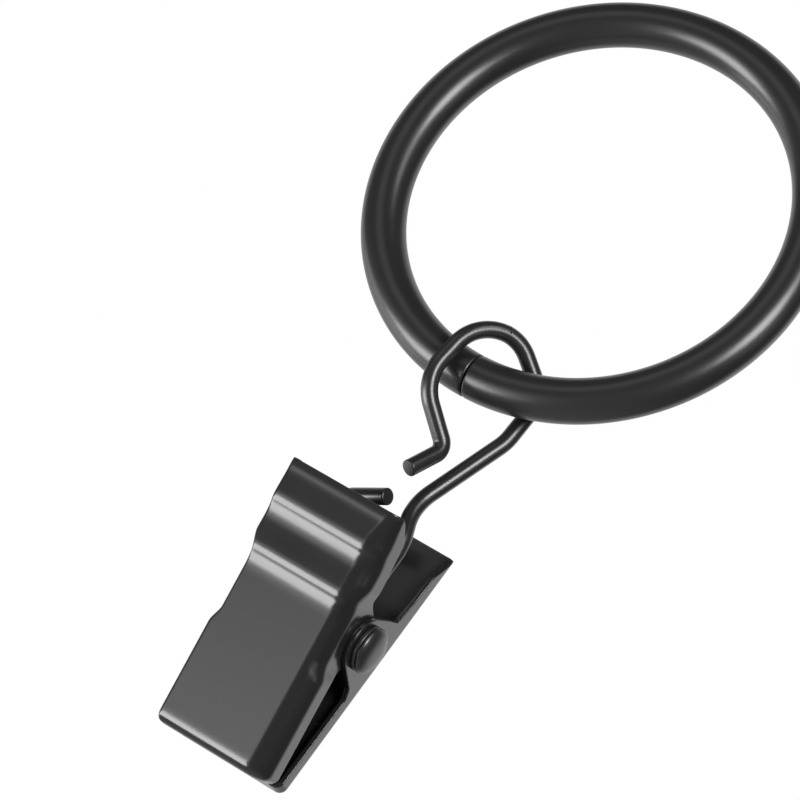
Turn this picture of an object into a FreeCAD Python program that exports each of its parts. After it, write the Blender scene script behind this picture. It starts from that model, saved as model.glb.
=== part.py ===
import FreeCAD, Part

import math
import os

import Sketcher
from FreeCAD import Vector

# Curtain ring with clip, in millimetres. The origin is the middle of the ring, +Y is the ring's
# axis (the rod's direction), +Z is up, and the clip hangs below with its width along X.

doc = FreeCAD.newDocument("CurtainRingWithClip")

# Driving sizes
SIZES = [
    ("ring_bore", 38.1, "inside diameter of the ring"),
    ("ring_wire", 4.5, "wire diameter of the ring"),
    ("ring_seam_gap", 0.12, "gap between the ring's butted ends"),
    ("ring_seam_bevel", 0.2, "bevel on each butted end"),
    ("ring_seam_turn", 1.1, "turn of the seam from straight down, degrees"),
    ("hook_wire", 1.7, "diameter of the hook and spring wire"),
    ("coil_radius", 2.45, "mean radius of the coil"),
    ("coil_turns", 3.0, "whole turns of the coil"),
    ("coil_play", 0.04, "gap between the coil's ends and the front ears"),
    ("pivot_y", 4.7, "rivet's axis behind the ring's plane"),
    ("pivot_drop", 48.8, "rivet's axis below the ring's centre"),
    ("sheet", 0.55, "thickness of the pressed sheet"),
    ("front_lean", 20.4, "lean of the front plate, degrees"),
    ("back_lean", 2.5, "lean of the back plate, degrees"),
    ("front_half", 6.45, "half the front jaw's width"),
    ("ear_press", 0.51, "how far the front jaw's walls are pressed in round the ears"),
    ("ear_gap", 0.03, "running gap between the nested ears"),
    ("ear_radius", 2.9, "radius of the ears"),
    ("front_depth", 6.33, "front plate's outer face from the rivet"),
    ("back_depth", 5.2, "back plate's outer face from the rivet"),
    ("front_top", 12.75, "front handle's length above the rivet"),
    ("front_end", 15.6, "front mouth's length below the rivet"),
    ("back_top", 13.05, "back handle's length above the rivet"),
    ("back_end", 15.5, "back mouth's length below the rivet"),
    ("step_rise", 0.33, "rise of each crosswise step"),
    ("step_bend", 2.6, "bend radius of the crosswise steps"),
    ("upper_step", 8.3, "upper step above the rivet"),
    ("lower_step", 3.2, "lower step above the rivet"),
    ("fold", 2.2, "outer radius of the fold along the front jaw's head side"),
    ("far_fold", 1.1, "outer radius of the fold along the front jaw's other side"),
    ("front_end_fold", 1.0, "outer radius of the fold at the front jaw's mouth"),
    ("back_fold", 0.8, "outer radius of the folds along the back jaw"),
    ("end_fold", 0.9, "outer radius of the fold at the back jaw's mouth"),
    ("front_wall", 3.33, "height of the front handle's walls"),
    ("front_mouth_wall", 3.63, "height of the front mouth's walls at the neck"),
    ("front_tooth_depth", 4.23, "height of the front end wall to its teeth's tips"),
    ("back_wall", 1.9, "height of the back mouth's walls"),
    ("back_tooth_depth", 3.65, "height of the back end wall to its teeth's tips"),
    ("tooth_pitch", 3.16, "pitch of the teeth"),
    ("front_tooth", 1.9, "height of the front jaw's teeth"),
    ("back_tooth", 1.5, "height of the back jaw's teeth"),
    ("tooth_tip", 0.3, "half the width of a tooth's tip"),
    ("tooth_root", 0.55, "half the width of the flat between two teeth"),
    ("rivet_shank", 2.5, "diameter of the rivet's shank"),
    ("rivet_clearance", 0.05, "clearance round the shank in the ears"),
    ("rivet_play", 0.03, "play of the rivet along its axis at each side"),
    ("head_radius", 2.4, "radius of the rivet's head"),
    ("rolled_radius", 1.5, "radius of the rivet's rolled end"),
    ("hollow_radius", 0.85, "radius of the hollow in the rolled end"),
]

sheet = doc.addObject("Spreadsheet::Sheet", "Sizes")
for row, (alias, value, meaning) in enumerate(SIZES, start=1):
    sheet.set("A%d" % row, str(value))
    sheet.set("B%d" % row, meaning)
    sheet.setAlias("A%d" % row, alias)
doc.recompute()


def size(alias):
    """The value of one named size."""
    return float(getattr(sheet, alias))


def origin_plane(body, role):
    """The body's own origin plane with the given role."""
    for feature in body.Origin.OriginFeatures:
        if feature.Role == role:
            return feature
    raise ValueError(role)


def new_sketch(body, name, role):
    """An empty sketch on one of the body's origin planes."""
    sketch = body.newObject("Sketcher::SketchObject", name)
    sketch.AttachmentSupport = [(origin_plane(body, role), "")]
    sketch.MapMode = "FlatFace"
    return sketch


def add_polygon(sketch, points):
    """A closed outline of straight lines with its corners joined."""
    first = sketch.GeometryCount
    count = len(points)
    for index, (across, up) in enumerate(points):
        after, above = points[(index + 1) % count]
        sketch.addGeometry(Part.LineSegment(Vector(across, up, 0), Vector(after, above, 0)), False)
    for index in range(count):
        following = first + (index + 1) % count
        sketch.addConstraint(Sketcher.Constraint("Coincident", first + index, 2, following, 1))


def add_edges(sketch, curves):
    """A closed outline of lines and arcs given in order."""
    first = sketch.GeometryCount
    for curve in curves:
        sketch.addGeometry(curve, False)
    return first


def segment(start, stop):
    """A straight edge of a sketch."""
    return Part.LineSegment(Vector(start[0], start[1], 0), Vector(stop[0], stop[1], 0))


def bend(start, middle, stop):
    """An arc through three points of a sketch."""
    return Part.Arc(*(Vector(point[0], point[1], 0) for point in (start, middle, stop)))


def add_disc(sketch, across, up, radius):
    """A circle of a sketch."""
    circle = Part.Circle(Vector(across, up, 0), Vector(0, 0, 1), radius)
    sketch.addGeometry(circle, False)


def pad_both_ways(body, sketch, name, length):
    """A pad that runs the same way to both sides of its sketch."""
    pad = body.newObject("PartDesign::Pad", name)
    pad.Profile = sketch
    pad.SideType = "Symmetric"
    if isinstance(length, str):
        pad.setExpression("Length", length)
    else:
        pad.Length = length
    sketch.Visibility = False
    return pad


def pocket_both_ways(body, sketch, name, length):
    """A cut that runs the same way to both sides of its sketch."""
    pocket = body.newObject("PartDesign::Pocket", name)
    pocket.Profile = sketch
    pocket.SideType = "Symmetric"
    if isinstance(length, str):
        pocket.setExpression("Length", length)
    else:
        pocket.Length = length
    sketch.Visibility = False
    return pocket


def rounded_wire(corners, radii):
    """A wire of straight runs with an arc of the given radius at each inner corner."""
    edges = []
    at = corners[0]
    for index, radius in enumerate(radii, start=1):
        before, here, after = corners[index - 1], corners[index], corners[index + 1]
        back = (before - here).normalize()
        ahead = (after - here).normalize()
        half = back.getAngle(ahead) / 2
        reach = radius / math.tan(half)
        start = here + back * reach
        stop = here + ahead * reach
        middle = (back + ahead).normalize()
        centre = here + middle * (radius / math.sin(half))
        crest = centre - middle * radius
        edges.append(Part.LineSegment(at, start).toShape())
        edges.append(Part.Arc(start, crest, stop).toShape())
        at = stop
    edges.append(Part.LineSegment(at, corners[-1]).toShape())
    return edges


# Shared places
pivot = Vector(0, size("pivot_y"), -size("pivot_drop"))
sheet_t = size("sheet")
ear_r = size("ear_radius")
front_neck = size("front_half") - size("ear_press")
back_half = front_neck + size("ear_gap") + sheet_t
coil_half = front_neck - sheet_t - size("coil_play") - size("hook_wire") / 2
neck_width = "2 * (Sizes.front_half - Sizes.ear_press)"
neck_inside = "2 * (Sizes.front_half - Sizes.ear_press - Sizes.sheet)"
back_width = "2 * (Sizes.front_half - Sizes.ear_press + Sizes.ear_gap + Sizes.sheet)"
back_inside_width = "2 * (Sizes.front_half - Sizes.ear_press + Sizes.ear_gap)"
neck_top = ear_r + 0.5
neck_bottom = -ear_r - 0.2
neck_slope = 1.7

# Ring: round wire bent to a circle, with butted and bevelled ends
ring = doc.addObject("PartDesign::Body", "Ring")
ring.Label = "ring"
ring_radius = (size("ring_bore") + size("ring_wire")) / 2
ring_section = new_sketch(ring, "RingSection", "XY_Plane")
add_disc(ring_section, ring_radius, 0, size("ring_wire") / 2)
ring_section.addConstraint(Sketcher.Constraint("PointOnObject", 0, 3, -1))
ring_section.addConstraint(Sketcher.Constraint("DistanceX", -1, 1, 0, 3, ring_radius))
ring_section.addConstraint(Sketcher.Constraint("Diameter", 0, size("ring_wire")))
ring_section.setExpression("Constraints[1]", "(Sizes.ring_bore + Sizes.ring_wire) / 2")
ring_section.setExpression("Constraints[2]", "Sizes.ring_wire")
ring_turn = ring.newObject("PartDesign::Revolution", "RingTurn")
ring_turn.Profile = ring_section
ring_turn.ReferenceAxis = (ring_section, ["V_Axis"])
seam_angle = math.degrees(size("ring_seam_gap") / ring_radius)
ring_turn.setExpression(
    "Angle", "360 - 360 * Sizes.ring_seam_gap / (pi * (Sizes.ring_bore + Sizes.ring_wire))"
)
doc.recompute()
end_faces = [
    "Face%d" % number
    for number, face in enumerate(ring_turn.Shape.Faces, start=1)
    if isinstance(face.Surface, Part.Plane)
]
ring_bevel = ring.newObject("PartDesign::Chamfer", "RingBevel")
ring_bevel.Base = (ring_turn, end_faces)
ring_bevel.setExpression("Size", "Sizes.ring_seam_bevel")
ring.Placement = FreeCAD.Placement(
    Vector(0, 0, 0),
    FreeCAD.Rotation(Vector(0, 1, 0), 90 - size("ring_seam_turn") + seam_angle / 2),
)

# Front jaw: a block with the sheet's outer form, shelled to the sheet, then pressed in at the ears
front = doc.addObject("PartDesign::Body", "FrontJaw")
front.Label = "front_jaw"
depth = size("front_depth")
rise = size("step_rise")
bend_r = size("step_bend")
bend_angle = math.acos(1 - rise / (2 * bend_r))
step_length = 2 * bend_r * math.sin(bend_angle)
front_top = size("front_top")
front_end = size("front_end")
wall_edge = -depth + size("front_wall")
mouth_edge = -depth + size("front_mouth_wall")
tooth_tip = -depth + size("front_tooth_depth")
plate_top = (-depth - 2 * rise, front_top)


def step_down(top, middle):
    """The line from a plate's point down through one step, with its middle at the given height."""
    high = (top[0], middle + step_length / 2)
    half_angle = bend_angle / 2
    across = bend_r * (1 - math.cos(bend_angle))
    down = bend_r * math.sin(bend_angle)
    bulge = bend_r * (1 - math.cos(half_angle))
    drop = bend_r * math.sin(half_angle)
    knee = (high[0] + across, high[1] - down)
    low = (knee[0] + across, knee[1] - down)
    curves = [
        segment(top, high),
        bend(high, (high[0] + bulge, high[1] - drop), knee),
        bend(knee, (low[0] - bulge, low[1] + drop), low),
    ]
    return curves, low


upper_curves, between = step_down(plate_top, size("upper_step"))
lower_curves, plate_at = step_down(between, size("lower_step"))
edge_points = [
    plate_at,
    (-depth, -front_end),
    (tooth_tip, -front_end),
    (mouth_edge, neck_bottom - neck_slope),
    (mouth_edge, -ear_r / 2),
    (wall_edge, ear_r / 2),
    (wall_edge, front_top - 6.75),
    (wall_edge - 0.57, front_top - 2.35),
    (wall_edge - 2.0, front_top),
    plate_top,
]
front_side = new_sketch(front, "FrontSide", "YZ_Plane")
add_edges(front_side, upper_curves + lower_curves)
for start, stop in zip(edge_points[:-1], edge_points[1:]):
    front_side.addGeometry(segment(start, stop), False)
front_block = pad_both_ways(front, front_side, "FrontBlock", "2 * Sizes.front_half")
doc.recompute()


def side_edges(shape, sides, low, high):
    """Names of the edges that run along a plate's sides, on its outer corners."""
    names = []
    for number, edge in enumerate(shape.Edges, start=1):
        box = edge.BoundBox
        if box.XLength > 0.01 or min(abs(box.XMin - side) for side in sides) > 0.01:
            continue
        if box.YMax < high and box.YMin > low:
            names.append("Edge%d" % number)
    return names


def fold_edges(body, base, names, name, size_name):
    """A fillet of the named edges."""
    fillet = body.newObject("PartDesign::Fillet", name)
    fillet.Base = (base, names)
    fillet.setExpression("Radius", "Sizes." + size_name)
    doc.recompute()
    return fillet


plate_low = -depth - 2 * rise - 0.05
plate_high = -depth + 0.05
near_side = side_edges(front_block.Shape, [size("front_half")], plate_low, plate_high)
near_fold = fold_edges(front, front_block, near_side, "FrontFold", "fold")
far_side = side_edges(near_fold.Shape, [-size("front_half")], plate_low, plate_high)
front_fold = fold_edges(front, near_fold, far_side, "FrontFarFold", "far_fold")
end_names = []
for number, edge in enumerate(front_fold.Shape.Edges, start=1):
    box = edge.BoundBox
    if box.ZMax < -front_end + 0.02 and box.YMin < tooth_tip - 0.1:
        end_names.append("Edge%d" % number)
front_round = fold_edges(front, front_fold, end_names, "FrontEndFold", "front_end_fold")
open_faces = []
for number, face in enumerate(front_round.Shape.Faces, start=1):
    if not isinstance(face.Surface, Part.Plane):
        continue
    normal = face.normalAt(0, 0)
    if abs(normal.x) < 0.1 and (normal.y > 0.05 or normal.z > 0.9):
        open_faces.append("Face%d" % number)
front_shell = front.newObject("PartDesign::Thickness", "FrontShell")
front_shell.Base = (front_round, open_faces)
front_shell.Reversed = True
front_shell.Mode = 0
front_shell.Join = 1
front_shell.setExpression("Value", "Sizes.sheet")
doc.recompute()

front_neck_plan = new_sketch(front, "FrontNeck", "XZ_Plane")
for side in (1, -1):
    far = side * (size("front_half") + 1)
    near = side * front_neck
    edge = side * size("front_half")
    add_polygon(
        front_neck_plan,
        [
            (edge, neck_top + neck_slope),
            (near, neck_top),
            (near, neck_bottom),
            (edge, neck_bottom - neck_slope),
            (far, neck_bottom - neck_slope),
            (far, neck_top + neck_slope),
        ],
    )
pocket_both_ways(front, front_neck_plan, "FrontNeckIn", 4 * depth)

ear_start = -depth + 1.7 * sheet_t
upper_neck = neck_top + neck_slope - 0.2
lower_neck = neck_bottom - neck_slope + 0.2
ear_plan = new_sketch(front, "FrontEar", "YZ_Plane")
add_edges(
    ear_plan,
    [
        segment((ear_start, upper_neck), (wall_edge, upper_neck)),
        segment((wall_edge, upper_neck), (wall_edge, ear_r + 0.4)),
        segment((wall_edge, ear_r + 0.4), (0, ear_r)),
        bend((0, ear_r), (ear_r, 0), (0, -ear_r)),
        segment((0, -ear_r), (mouth_edge, -ear_r - 0.3)),
        segment((mouth_edge, -ear_r - 0.3), (mouth_edge, lower_neck)),
        segment((mouth_edge, lower_neck), (ear_start, lower_neck)),
        segment((ear_start, lower_neck), (ear_start, upper_neck)),
    ],
)
pad_both_ways(front, ear_plan, "FrontEars", neck_width)
between_ears = new_sketch(front, "BetweenEars", "YZ_Plane")
add_polygon(
    between_ears,
    [
        (ear_start, lower_neck),
        (depth, lower_neck),
        (depth, upper_neck),
        (ear_start, upper_neck),
    ],
)
pocket_both_ways(front, between_ears, "BetweenFrontEars", neck_inside)


def tooth_line(centres, tip, root):
    """The zigzag of a row of teeth from -X to +X, as (x, y) points."""
    pitch = size("tooth_pitch")
    reach = pitch / 2 - size("tooth_root")
    points = []
    for centre in centres:
        middle = centre * pitch
        points.append((middle - reach, root))
        points.append((middle - size("tooth_tip"), tip))
        points.append((middle + size("tooth_tip"), tip))
        points.append((middle + reach, root))
    return points


def tooth_cut(body, name, level, points):
    """A cut through the end wall that leaves its teeth."""
    sketch = new_sketch(body, name + "Plan", "XY_Plane")
    sketch.AttachmentOffset = FreeCAD.Placement(Vector(0, 0, level), FreeCAD.Rotation())
    add_polygon(sketch, points)
    return pocket_both_ways(body, sketch, name, "2.4 * Sizes.sheet")


root = tooth_tip - size("front_tooth")
wide = size("front_half") + 1
front_teeth = tooth_line([-1.5, -0.5, 0.5, 1.5], tooth_tip, root)
front_cut = [(-wide, depth), (-wide, root)] + front_teeth + [(wide, root), (wide, depth)]
tooth_cut(front, "FrontTeeth", -front_end, front_cut)

front_hole = new_sketch(front, "FrontHole", "YZ_Plane")
add_disc(front_hole, 0, 0, size("rivet_shank") / 2 + size("rivet_clearance"))
pocket_both_ways(front, front_hole, "FrontRivetHole", "4 * Sizes.front_half")
front.Placement = FreeCAD.Placement(
    pivot, FreeCAD.Rotation(Vector(1, 0, 0), size("front_lean"))
)

# Back jaw: drawn the same way, with its outer face behind the rivet's axis
back = doc.addObject("PartDesign::Body", "BackJaw")
back.Label = "back_jaw"
back_y = size("back_depth")
back_top = size("back_top")
back_end = size("back_end")
back_edge = back_y - size("back_wall")
back_tip = back_y - size("back_tooth_depth")
end_fold = size("end_fold")
fold_in = end_fold * (1 - math.sqrt(0.5))
ear_side = 0.4 * ear_r
ear_up = math.sqrt(ear_r ** 2 - ear_side ** 2)
back_side = new_sketch(back, "BackSide", "YZ_Plane")
back_points = [
    (-ear_side, ear_up),
    (back_y - 4.2, ear_r + 0.73),
    (back_y - 2.59, ear_r + 1.35),
    (back_y - 2.4, ear_r + 2.3),
    (back_y - 2.1, ear_r + 4.1),
    (back_y - 1.86, back_top - 2.85),
    (back_y - 0.6, back_top - 0.45),
    (back_y, back_top),
    (back_y, -back_end + end_fold),
]
lower_points = [
    (back_y - end_fold, -back_end),
    (back_tip, -back_end),
    (back_tip, -back_end + 2),
    (back_edge, -back_end + 2),
    (back_edge + 0.17, -ear_r - 1.66),
    (back_edge - 0.63, -ear_r - 0.69),
    (-ear_side, -ear_up),
]
for start, stop in zip(back_points[:-1], back_points[1:]):
    back_side.addGeometry(segment(start, stop), False)
back_side.addGeometry(
    bend(back_points[-1], (back_y - fold_in, -back_end + fold_in), lower_points[0]), False
)
for start, stop in zip(lower_points[:-1], lower_points[1:]):
    back_side.addGeometry(segment(start, stop), False)
back_side.addGeometry(bend(lower_points[-1], (-ear_r, 0), back_points[0]), False)
back_block = pad_both_ways(back, back_side, "BackBlock", back_width)
doc.recompute()
back_sides = side_edges(back_block.Shape, [back_half, -back_half], back_y - 0.01, back_y + 0.01)
fold_edges(back, back_block, back_sides, "BackFold", "back_fold")
back_floor = -back_end + sheet_t
inner_y = back_y - sheet_t
back_inside = new_sketch(back, "BackInside", "YZ_Plane")
add_polygon(
    back_inside,
    [
        (-depth, back_floor),
        (inner_y, back_floor),
        (inner_y, back_top + 2),
        (-depth, back_top + 2),
    ],
)
pocket_both_ways(back, back_inside, "BackHollow", back_inside_width)
back_trim = new_sketch(back, "BackTrim", "YZ_Plane")
add_polygon(
    back_trim,
    [
        (-depth, back_floor),
        (back_edge, back_floor),
        (back_edge, -back_end + 3),
        (-depth, -back_end + 3),
    ],
)
pocket_both_ways(back, back_trim, "BackWallTrim", "4 * Sizes.front_half")
back_root = back_tip + size("back_tooth")
back_teeth = tooth_line([-1, 0, 1], back_tip, back_root)
back_cut = [(-wide, -depth), (-wide, back_root)] + back_teeth
back_cut += [(wide, back_root), (wide, -depth)]
tooth_cut(back, "BackTeeth", -back_end, back_cut)
back_hole = new_sketch(back, "BackHole", "YZ_Plane")
add_disc(back_hole, 0, 0, size("rivet_shank") / 2 + size("rivet_clearance"))
pocket_both_ways(back, back_hole, "BackRivetHole", "4 * Sizes.front_half")
back.Placement = FreeCAD.Placement(pivot, FreeCAD.Rotation(Vector(1, 0, 0), size("back_lean")))

# Rivet: domed and stepped head on one side, rolled hollow end on the other
rivet = doc.addObject("PartDesign::Body", "Rivet")
rivet.Label = "rivet"
outside = back_half + size("rivet_play")
shank_r = size("rivet_shank") / 2
head_r = size("head_radius")
rolled_r = size("rolled_radius")
hollow_r = size("hollow_radius")
rivet_section = new_sketch(rivet, "RivetSection", "XY_Plane")
add_edges(
    rivet_section,
    [
        segment((-4.0, 0), (outside + 1.4, 0)),
        bend((outside + 1.4, 0), (outside + 1.17, 1.3), (outside + 0.62, head_r)),
        segment((outside + 0.62, head_r), (outside + 0.62, head_r - 0.25)),
        segment((outside + 0.62, head_r - 0.25), (outside + 0.5, head_r - 0.25)),
        segment((outside + 0.5, head_r - 0.25), (outside + 0.5, head_r)),
        segment((outside + 0.5, head_r), (outside, head_r)),
        segment((outside, head_r), (outside, shank_r)),
        segment((outside, shank_r), (-outside, shank_r)),
        segment((-outside, shank_r), (-outside, rolled_r)),
        bend(
            (-outside, rolled_r),
            (-outside - 0.4, (rolled_r + hollow_r) / 2),
            (-outside, hollow_r),
        ),
        segment((-outside, hollow_r), (-4.0, hollow_r)),
        segment((-4.0, hollow_r), (-4.0, 0)),
    ],
)
rivet_turn = rivet.newObject("PartDesign::Revolution", "RivetTurn")
rivet_turn.Profile = rivet_section
rivet_turn.ReferenceAxis = (rivet_section, ["H_Axis"])
rivet_turn.Angle = 360
rivet.Placement = FreeCAD.Placement(pivot, FreeCAD.Rotation())

# Hook wire: one wire from the hook's free end, round the ring, down to the coil and its tail
wire = doc.addObject("Part::Feature", "HookWire")
wire.Label = "hook_wire"
coil_r = size("coil_radius")
coil_turns = size("coil_turns")
hook_route = [
    Vector(1.69, -1.91, -33.40),
    Vector(2.53, 0.32, -29.08),
    Vector(-2.00, -3.49, -25.10),
    Vector(-1.46, -3.00, -17.02),
    Vector(2.02, 0.14, -15.72),
    Vector(5.82, 3.56, -18.57),
    Vector(5.73, 3.47, -24.32),
    Vector(3.72, 1.67, -32.65),
    Vector(4.45, 1.40, -38.5),
    Vector(coil_half, pivot.y - coil_r * math.cos(math.radians(4.8)), pivot.z - 0.2),
]
hook_bends = [1.3, 2.6, 4.9, 4.0, 3.69, 3.54, 3.6, 6.0]
tail_route = [
    Vector(-coil_half, pivot.y + coil_r * math.cos(math.radians(11.5)), pivot.z - 0.49),
    Vector(-coil_half, 8.33, -43.3),
    Vector(-4.75, 3.90, -37.0),
    Vector(0.39, 1.5, -35.5),
]
tail_bends = [4.0, 2.0]
coil_start = math.radians(4.8)
coil_stop = math.radians(168.5) + 2 * math.pi * coil_turns


def coil_point(share):
    """A point of the coil's middle line, by its share of the way from the front leg to the tail."""
    turn = coil_start + (coil_stop - coil_start) * share
    return Vector(
        coil_half - 2 * coil_half * share,
        pivot.y - coil_r * math.cos(turn),
        pivot.z - coil_r * math.sin(turn),
    )


arcs = 14
coil_edges = [
    Part.Arc(
        coil_point(index / arcs),
        coil_point((index + 0.5) / arcs),
        coil_point((index + 1) / arcs),
    ).toShape()
    for index in range(arcs)
]
hook_route[-1] = coil_point(0)
tail_route[0] = coil_point(1)
hook_edges = rounded_wire(hook_route, hook_bends)
tail_edges = rounded_wire(tail_route, tail_bends)
path = Part.Wire(hook_edges + coil_edges + tail_edges)
first = hook_edges[0]
section = Part.Wire(
    Part.Circle(
        first.Vertexes[0].Point, first.tangentAt(first.FirstParameter), size("hook_wire") / 2
    ).toShape()
)
wire.Shape = path.makePipeShell([section], True, False)
wire.Placement = FreeCAD.Placement()
doc.recompute()

# Checks and files
for thing in doc.Objects:
    if "Invalid" in thing.State or "Error" in thing.State:
        raise RuntimeError("%s did not rebuild" % thing.Name)
os.makedirs("parts", exist_ok=True)
for node in (ring, wire, front, back, rivet):
    if node.Shape.isNull() or not node.Shape.isValid():
        raise RuntimeError("%s has no valid shape" % node.Label)
    node.Shape.exportStep("parts/%s.step" % node.Label)
    print(node.Label, round(node.Shape.Volume, 2), len(node.Shape.Solids), node.Shape.BoundBox)
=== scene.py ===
import math

import bpy
import numpy as np
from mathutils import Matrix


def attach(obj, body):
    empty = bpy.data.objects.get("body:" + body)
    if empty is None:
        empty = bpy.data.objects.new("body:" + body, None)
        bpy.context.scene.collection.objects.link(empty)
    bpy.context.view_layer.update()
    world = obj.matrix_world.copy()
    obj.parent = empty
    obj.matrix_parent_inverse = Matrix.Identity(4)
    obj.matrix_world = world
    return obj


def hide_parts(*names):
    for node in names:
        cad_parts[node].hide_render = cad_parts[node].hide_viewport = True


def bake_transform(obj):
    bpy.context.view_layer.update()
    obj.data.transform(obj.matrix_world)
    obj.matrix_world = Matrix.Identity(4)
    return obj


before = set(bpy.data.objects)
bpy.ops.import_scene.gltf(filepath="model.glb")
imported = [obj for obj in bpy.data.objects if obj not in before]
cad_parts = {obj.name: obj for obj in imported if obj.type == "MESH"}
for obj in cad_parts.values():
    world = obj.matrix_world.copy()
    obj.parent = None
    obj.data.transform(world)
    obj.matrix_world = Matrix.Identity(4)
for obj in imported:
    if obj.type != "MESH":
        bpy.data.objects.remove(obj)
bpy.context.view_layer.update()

MM = 0.001

# Sizes in millimetres, in the row frame
RING_RADIUS = 21.3
RING_WIRE = 4.5
RING_SLACK = 0.008
SEAM_TURN = math.radians(1.1)
SEAM_GAP = 0.12
SEAM_BEVEL = 0.22
HOOK_WIRE = 1.7
HOOK_BEVEL = 0.16
PIVOT = np.array([0.0, 4.7, -48.8])
COIL_RADIUS = 2.45
COIL_HALF = 4.5
COIL_START = math.radians(4.8)
COIL_STOP = math.radians(168.5) + 6 * math.pi

# Sizes of the jaws, each in its own frame: x across, depth from the plate's face, u up from the rivet
SHEET = 0.55
RIM = 0.1
FRONT_LEAN = math.radians(20.4)
FRONT_HALF = 6.45
FRONT_DEPTH = 6.33
FRONT_TOP = 12.75
FRONT_BOTTOM = -15.56
FRONT_EAR = 2.5
END_FOLD = 1.0
END_TILT = math.radians(8.5)
BACK_LEAN = math.radians(2.5)
BACK_HALF = 6.52
BACK_DEPTH = 5.2
BACK_TOP = 13.05
BACK_BOTTOM = -15.5
BACK_EAR = 2.9
TOOTH_PITCH = 3.16
LIP_EASE = 3.4
NECK_WIDTH = 1.8
RIVET_PLAY = 0.03

# Fineness of the meshes: rows across a jaw's flat, fold and wall, and columns round its end
FLAT_ROWS, FOLD_ROWS, WALL_ROWS = 32, 16, 16
END_FOLD_COLUMNS, END_WALL_COLUMNS = 13, 12
TILT_POINTS, TOOTH_POINTS, EAR_POINTS = 3001, 400, 40
RIM_RINGS, BEVEL_RINGS = 4, 6
RING_SIDES, RING_STEPS = 96, 721
HOOK_SIDES, COIL_STEPS = 48, 420
RIVET_SIDES, DOME_POINTS, ROLL_POINTS = 96, 30, 17

# Distances in millimetres between points along a jaw's edge, an outline and a wire's route, the
# widest turn between two points of an arc, and the distance at which points are joined
EDGE_STEP = 0.15
OUTLINE_STEP = 0.05
ROUTE_STEP = 0.12
WIDEST_TURN = 0.12
WELD_REACH = 2e-4


# Meshes
def unit(vectors):
    """Vectors scaled to length one along the last axis."""
    length = np.linalg.norm(vectors, axis=-1, keepdims=True)
    return vectors / np.maximum(length, 1e-12)


def eased(share):
    """A share from 0 to 1 that starts and stops gently: 3 s^2 - 2 s^3."""
    share = np.clip(share, 0, 1)
    return share * share * (3 - 2 * share)


def grid_quads(rows, columns, wrap_columns=False):
    """Quads of a grid of points stored row by row, where point (r, c) has number r x columns + c.

    Each quad joins (r, c), (r, c + 1), (r + 1, c + 1) and (r + 1, c).
    """
    r = np.arange(rows - 1)
    c = np.arange(columns if wrap_columns else columns - 1)
    r, c = np.meshgrid(r, c, indexing="ij")
    c2 = (c + 1) % columns
    quads = [r * columns + c, r * columns + c2, (r + 1) * columns + c2, (r + 1) * columns + c]
    return np.stack(quads, -1).reshape(-1, 4)


def weld(points, faces):
    """Joins points that coincide, and drops sides and faces that vanish with them.

    Returns the points, the faces and each old point's new number.
    """
    keys = np.round(points / WELD_REACH).astype(np.int64)
    _, first, numbers = np.unique(keys, axis=0, return_index=True, return_inverse=True)
    numbers = numbers.reshape(-1)
    kept = []
    for face in faces:
        mapped = numbers[face]
        short = [int(v) for k, v in enumerate(mapped) if v != mapped[k - 1]]
        if len(short) >= 3 and len(set(short)) == len(short):
            kept.append(short)
    return points[first], kept, numbers


def vertex_normals(points, faces):
    """Normals of a mesh's points: the sum of the cross products of the faces round them.

    A triangle's is that of two of its sides, and a quad's that of its diagonals.
    """
    normals = np.zeros_like(points)
    for count in (3, 4):
        chosen = np.array([f for f in faces if len(f) == count])
        if len(chosen) == 0:
            continue
        a, b, c, d = (points[chosen[:, k % count]] for k in range(4))
        cross = np.cross(c - a, d - b) if count == 4 else np.cross(b - a, c - a)
        for k in range(count):
            np.add.at(normals, chosen[:, k], cross)
    return unit(normals)


def make_mesh(name, points, faces, material, slot):
    """A smooth-shaded object from points in millimetres."""
    mesh = bpy.data.meshes.new(name)
    mesh.from_pydata((np.asarray(points) * MM).tolist(), [], faces)
    mesh.update()
    mesh.shade_smooth()
    mesh.materials.append(material)
    made = bpy.data.objects.new(name, mesh)
    bpy.context.scene.collection.objects.link(made)
    return made


# Lines
def rounded(corners, radii, step):
    """Points along straight runs with an arc of the given radius at each inner corner.

    At a corner b between a and c, with unit vectors u to a and w to c and half their angle h, the
    arc touches the runs r / tan(h) from b and its centre lies r / sin(h) along the bisector.
    """
    corners = [np.asarray(c, float) for c in corners]
    out = [corners[0]]

    def run_to(stop):
        """Adds evenly spaced points from the last one to the stop."""
        start = out[-1]
        count = max(1, int(np.linalg.norm(stop - start) / step))
        for k in range(1, count + 1):
            out.append(start + (stop - start) * k / count)

    for k, radius in enumerate(radii, start=1):
        a, b, c = corners[k - 1 : k + 2]
        u, w = unit(a - b), unit(c - b)
        half = math.acos(np.clip(u @ w, -1, 1)) / 2
        reach = radius / math.tan(half)
        centre = b + unit(u + w) * radius / math.sin(half)
        run_to(b + u * reach)
        e1 = unit(b + u * reach - centre)
        stop = unit(b + w * reach - centre)
        turn = math.acos(np.clip(e1 @ stop, -1, 1))
        e2 = unit(stop - e1 * (e1 @ stop))
        count = max(2, math.ceil(turn * radius / step), math.ceil(turn / WIDEST_TURN))
        for j in range(1, count + 1):
            angle = turn * j / count
            out.append(centre + radius * (e1 * math.cos(angle) + e2 * math.sin(angle)))
    run_to(corners[-1])
    return np.array(out)


def distance_along(line):
    """The distance of each point of a line from its start."""
    return np.r_[0, np.cumsum(np.linalg.norm(np.diff(line, axis=0), axis=1))]


def resample(line, count):
    """The same line with evenly spaced points."""
    along = distance_along(line)
    at = np.linspace(0, along[-1], count)
    return np.stack([np.interp(at, along, line[:, k]) for k in range(line.shape[1])], -1)


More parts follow.
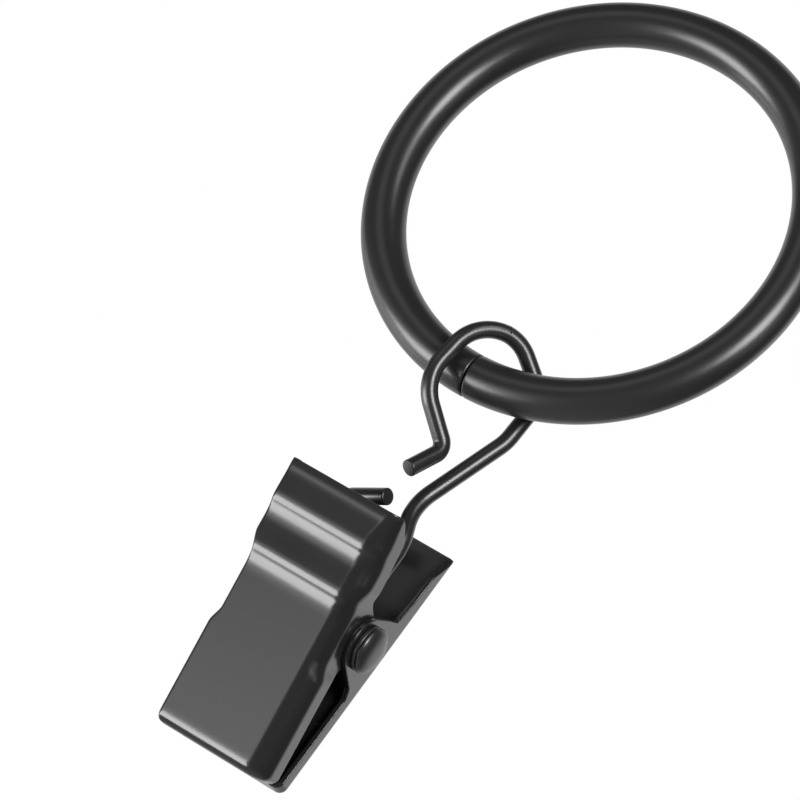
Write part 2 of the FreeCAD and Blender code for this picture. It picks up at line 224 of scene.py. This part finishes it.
def sweep(line, radius, around, bevels):
    """Points and quads of a round wire along a line, closed at both ends.

    The section's axes are carried along the line without twist. A bevel b rounds the end over its
    length: the section's radius there is r - b + sqrt(b^2 - (b - s)^2) at distance s from the end.
    """
    along = distance_along(line)
    total = along[-1]
    at = along
    near = 1 - np.cos(np.linspace(0, math.pi / 2, BEVEL_RINGS + 1)[1:])
    past = 1.05
    if bevels[0] > 0:
        at = np.r_[0, bevels[0] * near, at[at > bevels[0] * past]]
    if bevels[1] > 0:
        at = np.r_[at[at < total - bevels[1] * past], total - bevels[1] * near[::-1], total]
    points = np.stack([np.interp(at, along, line[:, k]) for k in range(3)], -1)
    scale = np.full(len(at), radius)
    for bevel, distance in ((bevels[0], at), (bevels[1], total - at)):
        if bevel > 0:
            s = np.minimum(distance, bevel)
            round_end = radius - bevel + np.sqrt(np.maximum(bevel**2 - (bevel - s) ** 2, 0))
            scale = np.minimum(scale, round_end)
    tangent = unit(np.gradient(points, at, axis=0))
    side = np.cross(tangent[0], [0.3, 1.0, 0.2])
    sides = []
    for t in tangent:
        side = unit(side - t * (side @ t))
        sides.append(side)
    sides = np.array(sides)[:, None]
    ups = np.cross(tangent[:, None], sides)
    turn = np.linspace(0, 2 * math.pi, around, endpoint=False)[None, :, None]
    rows = points[:, None] + scale[:, None, None] * (np.cos(turn) * sides + np.sin(turn) * ups)
    first = np.repeat(points[:1], around, 0)[None]
    last = np.repeat(points[-1:], around, 0)[None]
    rows = np.concatenate([first, rows, last])
    return rows.reshape(-1, 3), grid_quads(len(rows), around, wrap_columns=True)


def turned(profile, around):
    """Points and quads of a profile of (x, radius) pairs turned round the X axis.

    At the turn a the point (x, r) of the profile is at (x, r cos a, r sin a).
    """
    profile = np.asarray(profile, float)
    turn = np.linspace(0, 2 * math.pi, around, endpoint=False)
    along = np.repeat(profile[:, :1], around, 1)
    rows = np.stack([along, profile[:, 1:] * np.cos(turn), profile[:, 1:] * np.sin(turn)], -1)
    return rows.reshape(-1, 3), grid_quads(len(profile), around, wrap_columns=True)


# Materials
class Val:
    """A node socket that reads like a number."""

    def __init__(self, shader, socket):
        self.shader = shader
        self.socket = socket

    def join(self, operation, first, second):
        """A Math node's output for two values."""
        return self.shader.node("ShaderNodeMath", {"operation": operation}, {0: first, 1: second})

    def __add__(self, other):
        return self.join("ADD", self, other)

    def __radd__(self, other):
        return self.join("ADD", other, self)

    def __sub__(self, other):
        return self.join("SUBTRACT", self, other)

    def __rsub__(self, other):
        return self.join("SUBTRACT", other, self)

    def __mul__(self, other):
        return self.join("MULTIPLY", self, other)

    def __rmul__(self, other):
        return self.join("MULTIPLY", other, self)


class Shader:
    """The nodes of a material or a world."""

    def __init__(self, owner):
        owner.use_nodes = True
        self.tree = owner.node_tree

    def fill(self, node, inputs):
        """Gives sockets of a node their values, or links to other nodes."""
        for key, value in inputs.items():
            if isinstance(value, Val):
                self.tree.links.new(value.socket, node.inputs[key])
            else:
                node.inputs[key].default_value = value

    def node(self, kind, settings, inputs, output=0):
        """A new node's output, once its settings and then its sockets are set."""
        made = self.tree.nodes.new(kind)
        for key, value in settings.items():
            setattr(made, key, value)
        self.fill(made, inputs)
        return Val(self, made.outputs[output])

    def noise(self, where, scale, detail):
        """A noise texture's value round 0.5 at the given scale per metre."""
        inputs = {"Vector": where, "Scale": scale, "Detail": detail}
        return self.node("ShaderNodeTexNoise", {}, inputs, "Fac")

    def seen_level(self, seen, hidden):
        """A level that is one value to the camera's own rays and another to all other rays."""
        camera_ray = self.node("ShaderNodeLightPath", {}, {}, "Is Camera Ray")
        return hidden + (seen - hidden) * camera_ray


def black_paint(name, shade, rough, peel):
    """Semi-gloss black paint with a faint, fine unevenness.

    Roughness varies by a slow noise, and the bump is a sum of a soft and a fine noise.
    """
    slow, soft, fine = 260.0, 900.0, 4200.0
    material = bpy.data.materials.new(name)
    shader = Shader(material)
    where = shader.node("ShaderNodeTexCoord", {}, {}, "Object")
    height = shader.noise(where, soft, 1.0) + 0.35 * shader.noise(where, fine, 2.0)
    bump = {"Distance": 0.01 * MM, "Strength": peel, "Height": height}
    paint = {
        "Base Color": (shade, shade, shade * 1.02, 1),
        "IOR": 1.5,
        "Roughness": rough + 0.05 * (shader.noise(where, slow, 2.0) - 0.5),
        "Normal": shader.node("ShaderNodeBump", {}, bump, "Normal"),
    }
    shader.fill(shader.tree.nodes["Principled BSDF"], paint)
    return material


ring_paint = black_paint("ring_paint", 0.012, 0.31, 0.08)
wire_paint = black_paint("wire_paint", 0.012, 0.30, 0.10)
jaw_paint = black_paint("jaw_paint", 0.012, 0.20, 0.05)
rivet_paint = black_paint("rivet_paint", 0.014, 0.32, 0.12)


# Ring: a wire along a circle, split by the butted seam
def build_ring():
    """The circle (R sin a, 0, -R cos a) from one side of the seam round to the other."""
    gap = SEAM_GAP / RING_RADIUS / 2
    a = np.linspace(SEAM_TURN + gap, SEAM_TURN + 2 * math.pi - gap, RING_STEPS)
    line = np.stack([RING_RADIUS * np.sin(a), 0 * a, -RING_RADIUS * np.cos(a)], -1)
    points, quads = sweep(line, RING_WIRE / 2 - RING_SLACK, RING_SIDES, (SEAM_BEVEL, SEAM_BEVEL))
    made = make_mesh("ring_wire", *weld(points, quads)[:2], ring_paint, "ring_black")
    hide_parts("ring")
    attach(made, "ring")


# Hook wire: the hook and its leg ride with the front jaw, and the coil and tail are not attached to either
# jaw
HOOK_ROUTE = [
    (1.77, -1.84, -33.26),
    (2.53, 0.32, -29.08),
    (-2.00, -3.49, -25.10),
    (-1.46, -3.00, -17.02),
    (2.02, 0.14, -15.72),
    (5.82, 3.56, -18.57),
    (5.73, 3.47, -24.32),
    (2.68, 1.96, -35.06),
    (4.75, 1.05, -39.3),
]
HOOK_BENDS = [1.3, 4.5, 4.9, 4.0, 3.69, 5.5, 6.0, 4.0]
TAIL_ROUTE = [
    (-4.5, 8.33, -43.3),
    (-4.75, 3.90, -37.0),
    (0.20, 1.6, -35.55),
]
TAIL_BENDS = [4.0, 2.0]


def coil_line():
    """The coil's middle line: a helix round the rivet from the front leg to the tail.

    At the angle a it is at depth -R cos a and height -R sin a from the rivet's axis.
    """
    share = np.linspace(0, 1, COIL_STEPS)
    a = COIL_START + (COIL_STOP - COIL_START) * share
    helix = [COIL_HALF - 2 * COIL_HALF * share, -COIL_RADIUS * np.cos(a), -COIL_RADIUS * np.sin(a)]
    return np.stack(helix, -1) + PIVOT


def build_wire():
    """The wire's two pieces, which meet at the coil's start.

    The first rides with the front jaw, and the second is not attached to either jaw.
    """
    coil = coil_line()
    hook_line = rounded(HOOK_ROUTE + [coil[0]], HOOK_BENDS, ROUTE_STEP)
    points, quads = sweep(hook_line, HOOK_WIRE / 2, HOOK_SIDES, (HOOK_BEVEL, 0.0))
    hook = make_mesh("hook_and_leg", *weld(points, quads)[:2], wire_paint, "wire_black")
    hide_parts("hook_wire")
    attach(hook, "front")
    tail_line = rounded([coil[-1]] + TAIL_ROUTE, TAIL_BENDS, ROUTE_STEP)
    rest = np.concatenate([coil, tail_line[1:]])
    points, quads = sweep(rest, HOOK_WIRE / 2, HOOK_SIDES, (0.0, HOOK_BEVEL))
    coil_piece = make_mesh("coil_and_tail", *weld(points, quads)[:2], wire_paint, "wire_black")
    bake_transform(coil_piece)


# Jaws: folded sheets
def section_at(run, half, fold, inset=0.0):
    """Point (x, depth) of a jaw's cross-section at the length run from its middle.

    The section is flat out to half - fold, turns by a quarter circle of radius fold, and then runs
    straight down the wall. An inset section lies that far inside it; where the inset is more than
    the fold, the two straight parts meet in a corner.
    """
    flat = half - fold
    angle = np.clip((run - flat) / fold, 0, math.pi / 2)
    down = np.maximum(run - flat - fold * math.pi / 2, 0)
    radius = np.maximum(fold - inset, 0)
    x = np.minimum(np.minimum(run, flat), half - inset) + radius * np.sin(angle)
    wall = np.maximum(down - np.maximum(inset - fold, 0), 0)
    return x, inset + radius * (1 - np.cos(angle)) + wall


def run_of_depth(depth, half, fold):
    """The length along the section at which it reaches a depth.

    It is the flat, the fold's radius times the angle whose cosine is 1 - depth / fold, and the rest
    of the depth below the fold.
    """
    angle = np.arccos(np.clip(1 - depth / fold, 0, 1))
    return half - fold + fold * angle + np.maximum(depth - fold, 0)


def handle_columns(jaw, fold):
    """The grid of a jaw's plate and walls, and the section lengths of its last column.

    The columns' heights are those of points spaced evenly along the free edge, the depth of the
    section is moved by plate(u), and the side fold's radius eases to jaw["lip_fold"] at the top.
    """
    half = jaw["half"]
    edge = resample(jaw["edge"], int(distance_along(jaw["edge"])[-1] / EDGE_STEP))
    u = np.minimum.accumulate(edge[:, 0])
    plate = jaw["plate"](u)
    lip = min(fold, jaw["lip_fold"])
    folds = lip + (fold - lip) * eased((jaw["top"] - u) / LIP_EASE)
    flat = half - folds
    edge_run = run_of_depth(edge[:, 1] - plate, half, folds)
    fold_end = np.minimum(flat + folds * math.pi / 2, edge_run)
    middle = 0 * u
    runs = [middle[None]]
    parts = [(middle, flat, FLAT_ROWS), (flat, fold_end, FOLD_ROWS), (fold_end, edge_run, WALL_ROWS)]
    for start, stop, count in parts:
        share = np.linspace(0, 1, count + 1)[1:, None]
        runs.append(start + share * (stop - start))
    run = np.concatenate(runs)
    x, depth = section_at(run, half, folds)
    return np.stack([x, depth + plate, 0 * x + u], -1), run[:, -1]


def tooth_line(rim, teeth):
    """The lower ends (x, depth) of the end wall's columns that start at the rim.

    The teeth's line is shared out: those below the flat lie at flat_share of the rim's x, those
    below the fold fill the rest of it, and those below the wall go on to the free edge.
    """
    flat_share = 0.84
    fold_end = FLAT_ROWS + FOLD_ROWS
    line = rim.copy()
    line[: FLAT_ROWS + 1, 0] = flat_share * rim[: FLAT_ROWS + 1, 0]
    line[FLAT_ROWS : fold_end + 1, 0] = np.linspace(line[FLAT_ROWS, 0], teeth[-1, 0], FOLD_ROWS + 1)
    line[: fold_end + 1, 1] = np.interp(line[: fold_end + 1, 0], teeth[:, 0], teeth[:, 1])
    share = np.linspace(0, 1, len(rim) - fold_end)[:, None]
    line[fold_end:, :2] = teeth[-1] + share * (rim[-1, :2] - teeth[-1])
    return line


def end_columns(jaw, fold, last, depth_there):
    """The columns of a jaw's end fold and end wall.

    The end fold starts at the plate's last tilt s; its section at the angle a is the section inset
    by r (cos s - cos a), at the height bottom + r (1 - sin a). The end wall is flat, and each of its
    columns lies on the line from the inset section to the teeth.
    """
    r = jaw["end_fold"]
    start = jaw["end_tilt"]
    around = []
    for angle in start + (math.pi / 2 - start) * np.linspace(0, 1, END_FOLD_COLUMNS + 1)[1:]:
        x, depth = section_at(last, jaw["half"], fold, r * (math.cos(start) - math.cos(angle)))
        height = jaw["bottom"] + r * (1 - math.sin(angle))
        around.append(np.stack([x, depth + depth_there, 0 * x + height], -1))
    rim = around[-1]
    line = tooth_line(rim, jaw["teeth"])
    for share in np.linspace(0, 1, END_WALL_COLUMNS + 1)[1:]:
        around.append(rim + share * (line - rim))
    return np.stack(around, 1)


def pressed_in(grid, jaw):
    """The grid with its walls moved in by jaw["press"] round the ears.

    The press is whole between low_in and high_in at the wall, and eases to 0 at low_out and
    high_out, and at NECK_WIDTH from the wall.
    """
    low_out, low_in, high_in, high_out = -4.9, -2.9, 3.2, 5.3
    rise = (grid[..., 2] - low_out) / (low_in - low_out)
    fall = (high_out - grid[..., 2]) / (high_out - high_in)
    near_wall = 1 - (jaw["half"] - grid[..., 0]) / NECK_WIDTH
    pressed = grid.copy()
    pressed[..., 0] -= jaw["press"] * eased(np.minimum(rise, fall)) * eased(near_wall)
    return pressed


def jaw_skin(jaw, fold):
    """Half of a jaw's outer skin as a grid of (x, depth, u) points.

    Rows run from the middle of the section out to the free edge. Columns run from the top down the
    plate, round the end fold, and across the end wall to its teeth.
    """
    handle, last = handle_columns(jaw, fold)
    plate_end = jaw["plate"](handle[0, -1, 2])
    return pressed_in(np.concatenate([handle, end_columns(jaw, fold, last, plate_end)], 1), jaw)


def rim_lines(edge, normals):
    """Lines of points that lead a sheet's free edge round from its outer to its inner skin.

    Each line is the edge moved out by the bulge and inwards along the normals: a quarter circle of
    radius RIM, and another one as far from the inner skin as the first is from the outer one.
    """
    out = unit(np.cross(np.gradient(edge, axis=0), normals))
    if out[-1, 2] < 0:
        out = -out
    out[[0, -1], 0] = 0
    out = unit(out)
    quarter = np.linspace(0, math.pi / 2, RIM_RINGS + 1)
    bulge = RIM * np.sin(quarter)
    inward = RIM * (1 - np.cos(quarter))
    first = [edge + out * b - normals * d for b, d in zip(bulge[1:], inward[1:])]
    second = [edge + out * b - normals * (SHEET - d) for b, d in zip(bulge[:0:-1], inward[:0:-1])]
    return first + second


def close_half(grid):
    """Points and faces of half a sheet, open at x = 0, from half of its outer skin.

    The inner skin lies one thickness inside along the normals, which at x = 0 come from the middle
    line alone, so that both halves agree there.
    """
    rows, columns = grid.shape[:2]
    points, faces, numbers = weld(grid.reshape(-1, 3), grid_quads(rows, columns))
    numbers = numbers.reshape(rows, columns)
    normals = vertex_normals(points, faces)
    if normals[numbers[0, 0], 1] > 0:
        normals = -normals
        faces = [f[::-1] for f in faces]
    middle = [v for k, v in enumerate(numbers[0]) if k == 0 or v != numbers[0, k - 1]]
    down = np.gradient(points[middle], axis=0)
    across = unit(np.stack([0 * down[:, 0], down[:, 2], -down[:, 1]], -1))
    normals[middle] = across * np.sign((across * normals[middle]).sum(-1, keepdims=True))
    loop = np.concatenate([numbers[:, -1], numbers[-1, ::-1], numbers[::-1, 0]])
    loop = loop[np.r_[True, loop[1:] != loop[:-1]]]
    lines = rim_lines(points[loop], normals[loop])
    total = len(points)
    between = 2 * total + np.arange(len(lines) * len(loop)).reshape(len(lines), len(loop))
    rims = np.concatenate([loop[None], between, loop[None] + total])
    upper, lower = rims[:-1], rims[1:]
    strips = np.stack([lower[:, :-1], lower[:, 1:], upper[:, 1:], upper[:, :-1]], -1)
    inner = [[v + total for v in f[::-1]] for f in faces]
    faces = faces + inner + strips.reshape(-1, 4).tolist()
    return np.concatenate([points, points - normals * SHEET] + lines), faces


def close_sheet(jaw):
    """Points and faces of a whole jaw: one half, and the mirror image of one with the far fold."""
    points, faces = close_half(jaw_skin(jaw, jaw["fold"]))
    others, other_faces = close_half(jaw_skin(jaw, jaw["far_fold"]))
    faces = faces + [[v + len(points) for v in f[::-1]] for f in other_faces]
    points = np.concatenate([points, others * np.array([-1.0, 1, 1])])
    return weld(points, faces)[:2]


def free_edge(upper, upper_radii, ear, lower, lower_radii):
    """A free edge of (u, depth) points from the top down, past an ear round the rivet.

    The ear is an arc from one angle to another, at a radius round the point (0, its depth), and the
    angle is measured from the inward side.
    """
    start, stop, radius, depth = ear
    a = np.radians(np.linspace(start, stop, EAR_POINTS))
    arc = np.stack([radius * np.sin(a), depth + radius * np.cos(a)], -1)
    first = rounded(upper + [arc[0]], upper_radii, OUTLINE_STEP)
    last = rounded([arc[-1]] + lower, lower_radii, OUTLINE_STEP)
    return np.concatenate([first, arc[1:-1], last])


def scallops(shift, root, tip, stop):
    """A row of teeth along x from the middle: (x, depth) points.

    With w going from 1 to 0 and back over each pitch, from a start that shift moves, the depth is
    root + (tip - root) times 1.1 (1 - w)^1.2, cut off at the tip.
    """
    x = np.linspace(0, stop, TOOTH_POINTS)
    wave = np.abs(((x / TOOTH_PITCH + shift) % 1) - 0.5) * 2
    return np.stack([x, root + (tip - root) * np.clip(1.1 * (1 - wave) ** 1.2, 0, 1)], -1)


# Tilt of the front plate in degrees at heights u: the end, the flat, two crosswise steps and the lip
FRONT_TILT = np.array([
    (-16.5, 8.5), (-14.75, 8.5), (-14.4, 3.5), (-14.1, 1.0), (-13.7, 0.0), (1.0, 0.0),
    (1.6, 2.0), (2.0, 5.0), (2.4, 9.0), (2.8, 14.0), (3.0, 20.0), (3.2, 22.0), (3.4, 16.0),
    (3.6, 10.5), (3.8, 5.5), (4.0, 1.0), (4.3, -2.5), (5.2, -3.2), (6.2, -2.5), (6.6, 0.3),
    (7.0, 4.5), (7.4, 8.0), (7.7, 11.0), (7.95, 17.0), (8.1, 22.0), (8.3, 22.0), (8.45, 14.0),
    (8.6, 10.5), (8.8, 6.5), (9.0, 2.5), (9.2, -0.5), (9.5, -2.6), (11.0, -2.6),
    (11.4, -0.8), (11.8, 2.6), (12.1, -1.8), (12.4, -4.0), (13.5, -4.0),
])


def front_plate(u):
    """Depth of the front plate's outer face: minus the integral of its slope, and 0 on its flat."""
    flat_height = -8
    at = np.linspace(FRONT_TILT[0, 0], FRONT_TILT[-1, 0], TILT_POINTS)
    slope = np.tan(np.radians(np.interp(at, FRONT_TILT[:, 0], FRONT_TILT[:, 1])))
    depth = -np.r_[0, np.cumsum((slope[1:] + slope[:-1]) / 2 * np.diff(at))]
    return np.interp(u, at, depth - np.interp(flat_height, at, depth))


def flat_plate(u):
    """A plate with no steps."""
    return 0 * u


def build_jaw(name, jaw, cad_node, body):
    """A jaw's sheet, turned from its own frame about the rivet's axis and moved to it."""
    points, faces = close_sheet(jaw)
    lean, side = jaw["lean"], jaw["side"]
    out, up = side * (points[:, 1] - jaw["depth"]), points[:, 2]
    y = out * math.cos(lean) - up * math.sin(lean)
    z = out * math.sin(lean) + up * math.cos(lean)
    if side < 0:
        faces = [f[::-1] for f in faces]
    made = make_mesh(name, np.stack([points[:, 0], y, z], -1) + PIVOT, faces, jaw_paint, "jaw_black")
    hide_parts(cad_node)
    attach(made, body)


def build_front():
    """The front jaw: stepped handle, pressed-in ears, four teeth."""
    d = FRONT_DEPTH
    top = FRONT_TOP - RIM
    edge = free_edge(
        [(top, d - 6.0), (12.2, d - 5.1), (10.5, d - 3.3), (6.0, d - 2.8), (4.4, d - 2.9)],
        [0.8, 2.0, 4.0, 1.2],
        (80, -88, FRONT_EAR, d),
        [(-3.0, d - 1.5), (-4.6, d - 2.74), (FRONT_BOTTOM + END_FOLD - math.sin(END_TILT), d - 2.70)],
        [0.8, 1.2],
    )
    jaw = {
        "lean": FRONT_LEAN, "side": 1, "depth": d, "half": FRONT_HALF, "top": top, "bottom": FRONT_BOTTOM,
        "fold": 2.2, "far_fold": 0.35, "lip_fold": 1.5, "end_fold": END_FOLD, "end_tilt": END_TILT,
        "plate": front_plate, "press": 0.51, "edge": edge,
        "teeth": scallops(0.0, d - 4.0, d - 2.1 - RIM, 5.35),
    }
    build_jaw("front_sheet", jaw, "front_jaw", "front")


def build_back():
    """The back jaw: flat plate, low walls, round ears, three teeth."""
    d = BACK_DEPTH
    top = BACK_TOP - RIM
    edge = free_edge(
        [(top, 0.25), (12.5, 0.6), (10.2, d - 3.34), (7.0, d - 3.1), (5.2, d - 2.8), (4.25, d - 2.61),
         (3.63, d - 1.0)],
        [0.5, 1.5, 2.0, 2.0, 0.6, 0.8],
        (66, -70, BACK_EAR, d),
        [(-3.59, d - 2.67), (-4.56, d - 3.47), (-14.6, d - 3.3)],
        [0.7, 0.8],
    )
    jaw = {
        "lean": BACK_LEAN, "side": -1, "depth": d, "half": BACK_HALF, "top": top, "bottom": BACK_BOTTOM,
        "fold": 0.8, "far_fold": 0.8, "lip_fold": 0.8, "end_fold": 0.9, "end_tilt": 0.0,
        "plate": flat_plate, "press": 0.0, "edge": edge,
        "teeth": scallops(0.5, 2.15, 3.3 - RIM, 5.2),
    }
    build_jaw("back_sheet", jaw, "back_jaw", "back")


# Rivet
def build_rivet():
    """A flange and a domed cap with a groove between them, a shank, and a rolled hollow end.

    The dome is (rise sin a, head cos(a)^0.75), and the rolled end a half circle of radius 0.325
    stretched to 0.4 along the axis.
    """
    face = BACK_HALF + RIVET_PLAY
    head, rise, shank, hollow = 2.4, 0.78, 1.25, 0.85
    a = np.linspace(math.pi / 2, 0.0, DOME_POINTS)
    dome = np.stack([face + 0.62 + rise * np.sin(a), head * np.cos(a) ** 0.75], -1)
    flange = [
        (0.60, 2.37), (0.58, 2.2), (0.50, 2.15), (0.48, 2.3), (0.42, 2.38), (0.10, head), (0.02, 2.36),
        (0.0, 2.25), (0.0, shank + 0.02), (-0.02, shank),
    ]
    flange = np.array(flange) + [face, 0]
    a = np.linspace(0, math.pi, ROLL_POINTS)
    rolled = np.stack([-face - 0.4 * np.sin(a), 1.175 + 0.325 * np.cos(a)], -1)
    far_end = [(-face + 0.02, shank), (-face, shank + 0.02)]
    bore = [(-face + 0.4, hollow), (-4.2, 0.8), (-4.0, 0.6), (-4.0, 0.0)]
    points, quads = turned(np.concatenate([dome, flange, far_end, rolled, bore]), RIVET_SIDES)
    made = make_mesh("rivet_turned", *weld(points + PIVOT, quads)[:2], rivet_paint, "rivet_black")
    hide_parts("rivet")
    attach(made, "back")


build_ring()
build_wire()
build_front()
build_back()
build_rivet()

# Camera at the photograph's viewing angle, in metres, with the target that the lights face
CAMERA_AT = np.array([225.388, -448.904, -179.710]) * MM
TARGET_DISTANCE = 533.5 * MM
LOOK = unit(np.array([-0.43602, 0.85200, 0.28980]))
UP = np.array([-0.44105, -0.48300, 0.75643])
UP = unit(UP - LOOK * (UP @ LOOK))
RIGHT = np.cross(LOOK, UP)
TARGET = CAMERA_AT + LOOK * TARGET_DISTANCE


def frame_matrix(x, y, z, at):
    """A placement from three axes and a point."""
    matrix = np.eye(4)
    matrix[:3] = np.stack([x, y, z, at], -1)
    return matrix.T.tolist()


camera = bpy.data.objects.new("camera", bpy.data.cameras.new("camera"))
camera.data.lens = 246.42
camera.data.sensor_width = 36.0
camera.data.clip_start = 0.01
camera.data.clip_end = 20.0
camera.matrix_world = frame_matrix(RIGHT, UP, -LOOK, CAMERA_AT)
bpy.context.scene.collection.objects.link(camera)
bpy.context.scene.camera = camera

# Soft panels: direction in the picture (right, up, towards the camera), distance, width and height
# in metres, and radiance
PANELS = {
    "left_panel": ((-0.937, -0.06, 0.341), 0.8, 0.64, 0.31, 13.0),
    "plate_panel": ((-0.77, 0.175, 0.61), 0.8, 0.43, 0.20, 2.2),
    "right_panel": ((0.540, 0.165, 0.825), 0.8, 0.34, 0.36, 19.0),
    "low_right_panel": ((0.787, -0.276, 0.551), 0.8, 0.35, 0.25, 0.8),
    "rear_left_panel": ((-0.927, -0.09, -0.375), 0.8, 0.40, 0.60, 2.0),
    "high_panel": ((-0.3, 0.86, 0.41), 0.8, 0.40, 0.30, 0.8),
    "top_panel": ((0.635, 0.559, 0.533), 0.8, 0.25, 0.25, 5.0),
    "rear_right_panel": ((0.562, -0.407, -0.720), 0.8, 0.42, 0.40, 0.45),
    "back_panel": ((0.1, -0.1, -1.0), 1.0, 3.0, 3.0, 0.85),
}


def light_panel(name, direction, distance, width, height, radiance):
    """A rectangular light that faces the object; its power is radiance x pi x its area."""
    right, up, towards = unit(np.array(direction))
    away = RIGHT * right + UP * up - LOOK * towards
    data = bpy.data.lights.new(name, "AREA")
    data.shape = "RECTANGLE"
    data.size = width
    data.size_y = height
    data.energy = radiance * math.pi * width * height
    lamp = bpy.data.objects.new(name, data)
    y = unit(UP - away * (UP @ away))
    lamp.matrix_world = frame_matrix(np.cross(y, away), y, away, TARGET + away * distance)
    lamp.visible_camera = False
    bpy.context.scene.collection.objects.link(lamp)


for name, values in PANELS.items():
    light_panel(name, *values)

# White to the camera, and a dim studio to everything else
world = bpy.data.worlds.new("studio")
bpy.context.scene.world = world
shader = Shader(world)
sky = {"Color": shader.seen_level(1.0, 0.09), "Strength": 1.0}
shader.fill(shader.tree.nodes["Background"], sky)

# Floor, below all the panels, which must not be hidden by it
FLOOR_HALF = 3.0
FLOOR_Z = -1.15
pale = bpy.data.materials.new("pale")
shader = Shader(pale)
matt = {
    "Base Color": (0.85, 0.85, 0.85, 1),
    "Roughness": 0.9,
    "Emission Color": shader.seen_level(0.7, 0.0),
    "Emission Strength": 1.0,
}
shader.fill(shader.tree.nodes["Principled BSDF"], matt)
floor_mesh = bpy.data.meshes.new("floor")
corners = [(-1, -1), (1, -1), (1, 1), (-1, 1)]
floor_mesh.from_pydata([(x * FLOOR_HALF, y * FLOOR_HALF, FLOOR_Z) for x, y in corners], [], [[0, 1, 2, 3]])
floor_mesh.materials.append(pale)
floor = bpy.data.objects.new("floor", floor_mesh)
bpy.context.scene.collection.objects.link(floor)

bpy.context.scene.view_settings.view_transform = "Standard"
